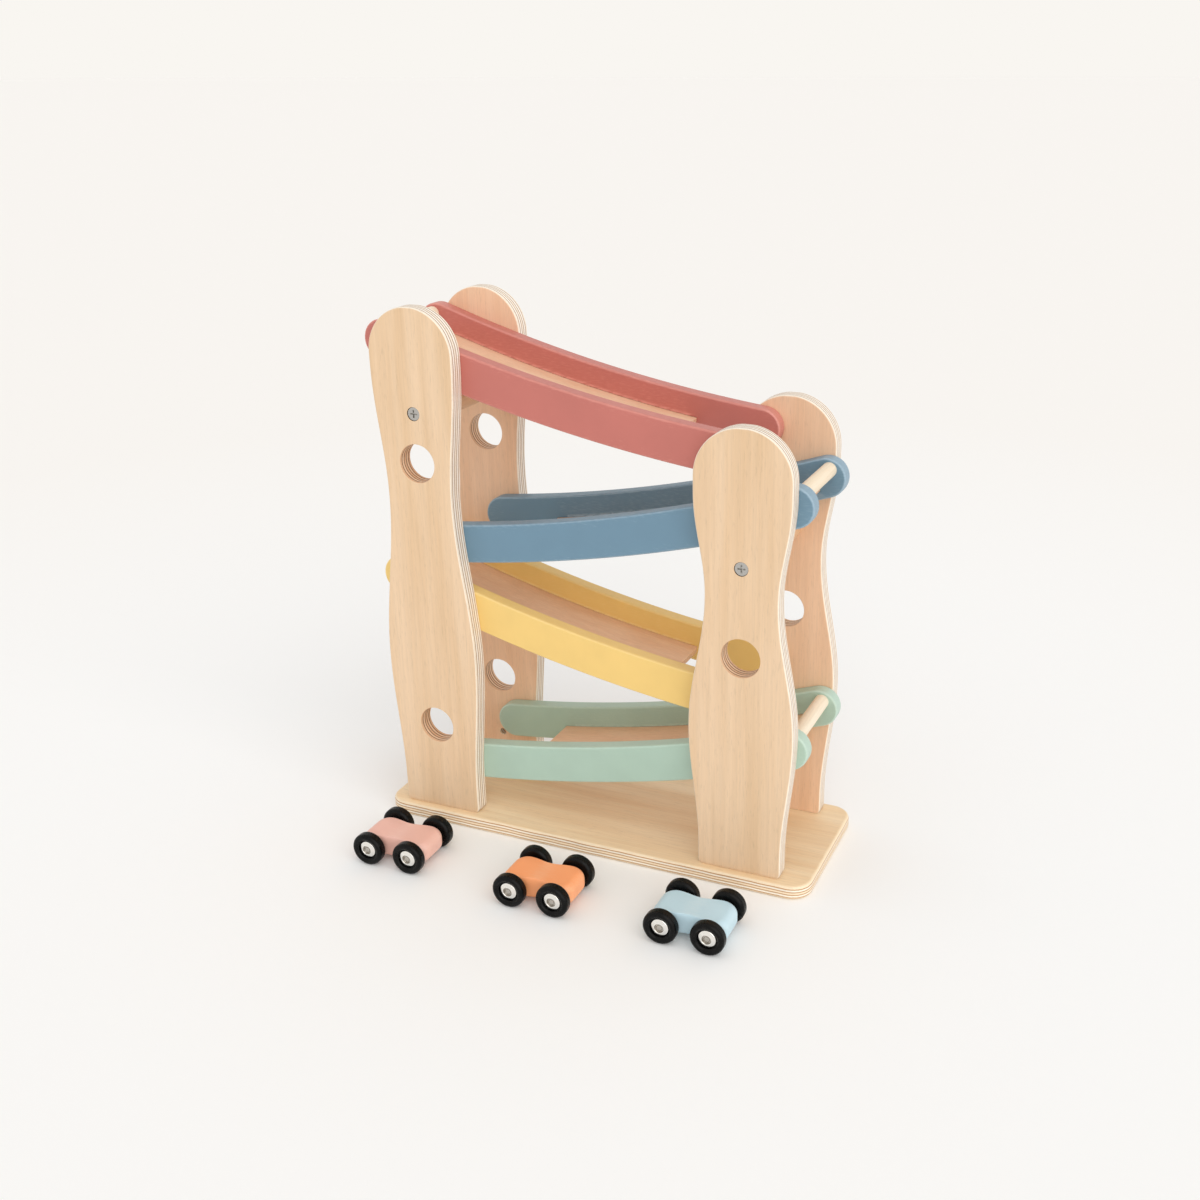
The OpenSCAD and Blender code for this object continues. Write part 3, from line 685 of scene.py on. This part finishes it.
def rail(node, colour, face):
    """A sagging rail: its outline's section is swept along the arc, each end is spun half a turn
    about its middle, the edges are rounded, and the groove for the floor is cut."""
    side, arc, low_end, high_end = ramp_frame(colour)
    y_low, y_high = sorted((face * RAIL_IN, face * RAIL_OUT))
    start = slope_at(-LOW_REACH)
    piece = section(f"painted_{node}", side, arc, ARC_R, start, y_low, y_high, RAIL_H, cuts=2)
    bpy.ops.mesh.select_all(action="SELECT")
    bpy.ops.mesh.delete(type="ONLY_FACE")
    pick("edges", lambda e, m: all(abs((v.co - arc).xz.length - ARC_R) < CLOSE for v in e.verts))
    bpy.ops.mesh.delete(type="EDGE")
    sweep(arc, side, 2 * HALF_SWEEP, RAIL_STEPS)
    for end, way in ((high_end, 1), (low_end, -1)):
        pick("edges", lambda e, m: e.is_boundary and (m - end).xz.length < RAIL_H / 2 + CLOSE
             and (m - arc).xz.length < ARC_R - CLOSE)
        bpy.ops.mesh.spin(steps=RAIL_END_STEPS, angle=-way * side * math.pi, center=end, axis=(0, 1, 0))
    close_up()
    round_sharp_edges(RAIL_EDGE, 4)
    end_edit()
    groove = sorted((face * (RAIL_IN - 3 * OVERRUN), face * (RAIL_IN + GROOVE_D)))
    cutter = floor_run("groove", side, arc, *groove, FLOOR_T + 2 * GROOVE_SPARE, RAIL_STEPS)
    end_edit()
    carve(piece, cutter)
    finish_piece(piece, "tower", node, PAINTS[colour])


def ramp_floor(colour):
    """The thin curved floor between two rails, let into their grooves."""
    side, arc, _, _ = ramp_frame(colour)
    half = RAIL_IN + GROOVE_D - GROOVE_END_GAP
    piece = floor_run(f"beech_{colour}_floor", side, arc, -half, half, FLOOR_T, FLOOR_STEPS)
    round_sharp_edges(FLOOR_EDGE, 2)
    end_edit()
    finish_piece(piece, "tower", f"{colour}_floor", FLOOR_WOOD)


# Cars
def car_rows(length):
    """(distance from the middle, width) along half a car's body, from its waist to its end."""
    flank = length / 2 - CAR_CORNER
    rows = [(flank * i / CAR_ROWS, ease(CAR_WAIST, CAR_W, i / CAR_ROWS)) for i in range(CAR_ROWS + 1)]
    for step in range(1, CAR_ROWS + 1):
        turn = math.radians(CORNER_TURN * step)
        rows.append((flank + CAR_CORNER * math.sin(turn), CAR_W - 2 * CAR_CORNER * (1 - math.cos(turn))))
    return rows


def car_body(car, node_colour):
    """A waisted block: a slab is extruded out row by row to both ends, then its top and bottom are
    drawn in by steps, far at the ends and little along the sides."""
    node = f"{car}_car_body"
    low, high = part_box(node)
    middle = (low + high) / 2
    length = high.x - low.x
    rows = car_rows(length)
    flat = (high.z - low.z) / 2 - CAR_END_R
    (_, waist), (x1, w1) = rows[0], rows[1]
    piece = new_cube(f"painted_{node}", (middle.x - x1, middle.y - w1 / 2, middle.z - flat),
                     (middle.x + x1, middle.y + w1 / 2, middle.z + flat))
    for way in (-1, 1):
        pick("faces", lambda f, m: f.normal.x * way > FACING)
        for (x_old, w_old), (x_new, w_new) in zip(rows[1:], rows[2:]):
            push_out(way * (x_new - x_old), 0, 0)
            bpy.ops.transform.resize(value=(1, w_new / w_old, 1),
                                     center_override=(middle.x + way * x_new, middle.y, middle.z))
    # The waist itself, where the first slab is cut in half and pinched
    pick("faces", lambda f, m: abs(f.normal.x) < 0.5 and abs(m.x - middle.x) < NEAR)
    bpy.ops.mesh.bisect(plane_co=middle, plane_no=(1, 0, 0))
    pick("verts", lambda v, m: abs(m.x - middle.x) < NEAR)
    bpy.ops.transform.resize(value=(1, waist / w1, 1), center_override=middle)
    for way in (-1, 1):
        pick("faces", lambda f, m: f.normal.z * way > FACING)
        old = 0.0
        for step in range(1, CAR_ROWS + 1):
            turn = math.radians(90 * step / CAR_ROWS)
            shrink = [(half - radius * (1 - math.cos(turn))) / (half - radius * (1 - math.cos(old)))
                      for half, radius in ((length / 2, CAR_END_R), (CAR_W / 2, CAR_SIDE_R))]
            push_out(0, 0, way * CAR_END_R * (math.sin(turn) - math.sin(old)))
            bpy.ops.transform.resize(value=(*shrink, 1), center_override=middle)
            old = turn
    close_up()
    end_edit()
    finish_piece(piece, f"{car}_car", node, PAINTS[node_colour], smooth=60)


def cap(x, foot_y, z, way):
    """One stamped cap: a disc whose outer face is pushed out along the cap's profile."""
    made = new_rod(x, foot_y + way * CAP_RIM / 2, z, CAP_R, CAP_RIM, CAP_SIDES)
    start_edit(made)
    pick("faces", lambda f, m: (m.y - foot_y) * way > CAP_RIM - HAIR)
    wide, risen = CAP_R / mm, CAP_RIM / mm
    for radius, height in CAP_PROFILE:
        push_out(0, way * (height - risen) * mm, 0)
        bpy.ops.transform.resize(value=(radius / wide, 1, radius / wide), center_override=(x, foot_y, z))
        wide, risen = radius, height
    end_edit()
    return made


def car_caps(car):
    """The four caps of a car as one piece; their recesses get the duller grey nickel, a painted shade."""
    node = f"{car}_car_caps"
    low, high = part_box(node)
    z = (low.z + high.z) / 2
    middle_y = (low.y + high.y) / 2
    axles = (low.x + CAP_R, high.x - CAP_R)
    made = [cap(x, middle_y + way * CAP_FOOT, z, way) for x in axles for way in (FRONT, BACK)]
    piece = made[0]
    only(piece)
    for one in made:
        one.select_set(True)
    bpy.ops.object.join()
    piece.name = f"nickel_{node}"
    start_edit(piece)
    close_up()
    end_edit()
    finish_piece(piece, f"{car}_car", node, CAP_STEEL)
    # Painted shade: the faces of each cap's recess get the greyer nickel
    piece.data.materials.append(RECESS_SHADE_STEEL)
    for face in piece.data.polygons:
        across = min(abs(face.center.x - x) for x in axles)
        outer = abs(face.center.y - middle_y) - CAP_FOOT > NEAR
        if outer and math.hypot(across, face.center.z - z) < RECESS_R:
            face.material_index = 1


# Putting it together
base_board()
for side_name, side in (("left", LEFT), ("right", RIGHT)):
    upright(f"front_{side_name}_upright", side, FRONT)
    upright(f"back_{side_name}_upright", side, BACK)
for colour in RAMPS:
    rail(f"{colour}_front_rail", colour, FRONT)
    rail(f"{colour}_back_rail", colour, BACK)
    ramp_floor(colour)
for car, paint in (("pink", "pink"), ("orange", "orange"), ("blue", "light_blue")):
    car_body(car, paint)
    car_caps(car)

# What is turned, moulded or bought keeps its solid and gets its finish
KEPT = {"wheel": RUBBER, "axles": AXLE_STEEL, "screws": SCREW_STEEL, "tie": TIE_WOOD, "dowel": DOWEL_WOOD,
        "pins": DOWEL_WOOD}
for name, obj in NODES.items():
    kind = name.split("_")[-1]
    if kind in KEPT:
        dress(obj, KEPT[kind])

# Studio. The floor's size and the distances from the toy between which its whiter patch of painted light
# fades out are in metres, and the window's light comes from the front right.
PAPER_SIZE = 60
PAINTED_LIGHT_PATCH = (0.2, 1.0)
SKY_STRENGTH = 0.78
WINDOW_STRENGTH = 1.3
WINDOW_SPREAD = math.radians(70)
WINDOW_FROM = Vector((0.72, -0.72, 0.58))


def paper_floor():
    """A pale sweep of paper that runs to the horizon."""
    # Painted light: the paper is painted whiter round the toy, which evens out the warm light that the wood
    # throws on it
    material, tree, shader, place = start_material("matt_paper_sweep")
    away = add(tree, "ShaderNodeVectorMath", {0: place}, operation="LENGTH")
    outward = remap(tree, away.outputs["Value"], *PAINTED_LIGHT_PATCH, 0, 1)
    tone = add(tree, "ShaderNodeMix", {0: outward, 6: linear("#FCFCFB"), 7: linear("#FAF7F3")},
               data_type="RGBA")
    tree.links.new(tone.outputs[2], shader.inputs["Base Color"])
    shader.inputs["Roughness"].default_value = 0.9
    shader.inputs["Specular IOR Level"].default_value = 0.1
    bpy.ops.object.select_all(action="DESELECT")
    bpy.ops.mesh.primitive_plane_add(size=PAPER_SIZE, location=(0, 0, 0))
    sweep_floor = bpy.context.object
    sweep_floor.name = "paper_sweep"
    sweep_floor.data.materials.append(material)


def sky_and_window():
    """An even white sky, which the eye and the gloss see as pale paper, and one broad soft light."""
    world = bpy.data.worlds.new("studio")
    bpy.context.scene.world = world
    world.use_nodes = True
    tree = world.node_tree
    tree.nodes.clear()
    sky = add(tree, "ShaderNodeBackground", {"Color": linear("#FFFFFF"), "Strength": SKY_STRENGTH})
    paper = add(tree, "ShaderNodeBackground", {"Color": linear("#F9F6F1"), "Strength": 1.0})
    path = add(tree, "ShaderNodeLightPath")
    seen = add(tree, "ShaderNodeMath", {0: path.outputs["Is Camera Ray"], 1: path.outputs["Is Glossy Ray"]},
               operation="MAXIMUM")
    clear = add(tree, "ShaderNodeMath", {0: seen.outputs["Value"], 1: path.outputs["Is Transmission Ray"]},
                operation="MAXIMUM")
    mixed = add(tree, "ShaderNodeMixShader", {0: clear.outputs["Value"], 1: sky.outputs["Background"],
                                              2: paper.outputs["Background"]})
    add(tree, "ShaderNodeOutputWorld", {"Surface": mixed.outputs["Shader"]})

    lamp = bpy.data.lights.new("window", "SUN")
    lamp.energy = WINDOW_STRENGTH
    lamp.angle = WINDOW_SPREAD
    lamp.color = linear("#FFFDFA")[:3]
    window = bpy.data.objects.new("window", lamp)
    bpy.context.scene.collection.objects.link(window)
    window.rotation_euler = WINDOW_FROM.to_track_quat("Z", "Y").to_euler()


# The photograph's viewpoint: where it stands, how far it is turned left, down and askew, its lens, and
# how far its image lies off the lens axis
CAMERA_AT = (309.98 * mm, -644.836 * mm, 425.06 * mm)
YAW, PITCH, ROLL = -0.39324, 0.35873, -0.00623
SENSOR_MM, LENS_MM = 36, 40.9216
SHIFT = (-0.06872, -0.0257)


def camera():
    """A camera at the photograph's viewpoint."""
    forward = Vector((math.sin(YAW) * math.cos(PITCH), math.cos(YAW) * math.cos(PITCH), -math.sin(PITCH)))
    level = Vector((math.cos(YAW), -math.sin(YAW), 0))
    up = level.cross(forward)
    right = level * math.cos(ROLL) + up * math.sin(ROLL)
    up = up * math.cos(ROLL) - level * math.sin(ROLL)
    data = bpy.data.cameras.new("camera")
    data.sensor_width = SENSOR_MM
    data.lens = LENS_MM
    data.shift_x, data.shift_y = SHIFT
    data.clip_start = 0.01
    data.clip_end = 100
    view = bpy.data.objects.new("camera", data)
    bpy.context.scene.collection.objects.link(view)
    turn = Matrix((right, up, -forward)).transposed()
    view.matrix_world = Matrix.Translation(CAMERA_AT) @ turn.to_4x4()
    bpy.context.scene.camera = view


paper_floor()
sky_and_window()
camera()
bpy.context.scene.view_settings.view_transform = "Standard"
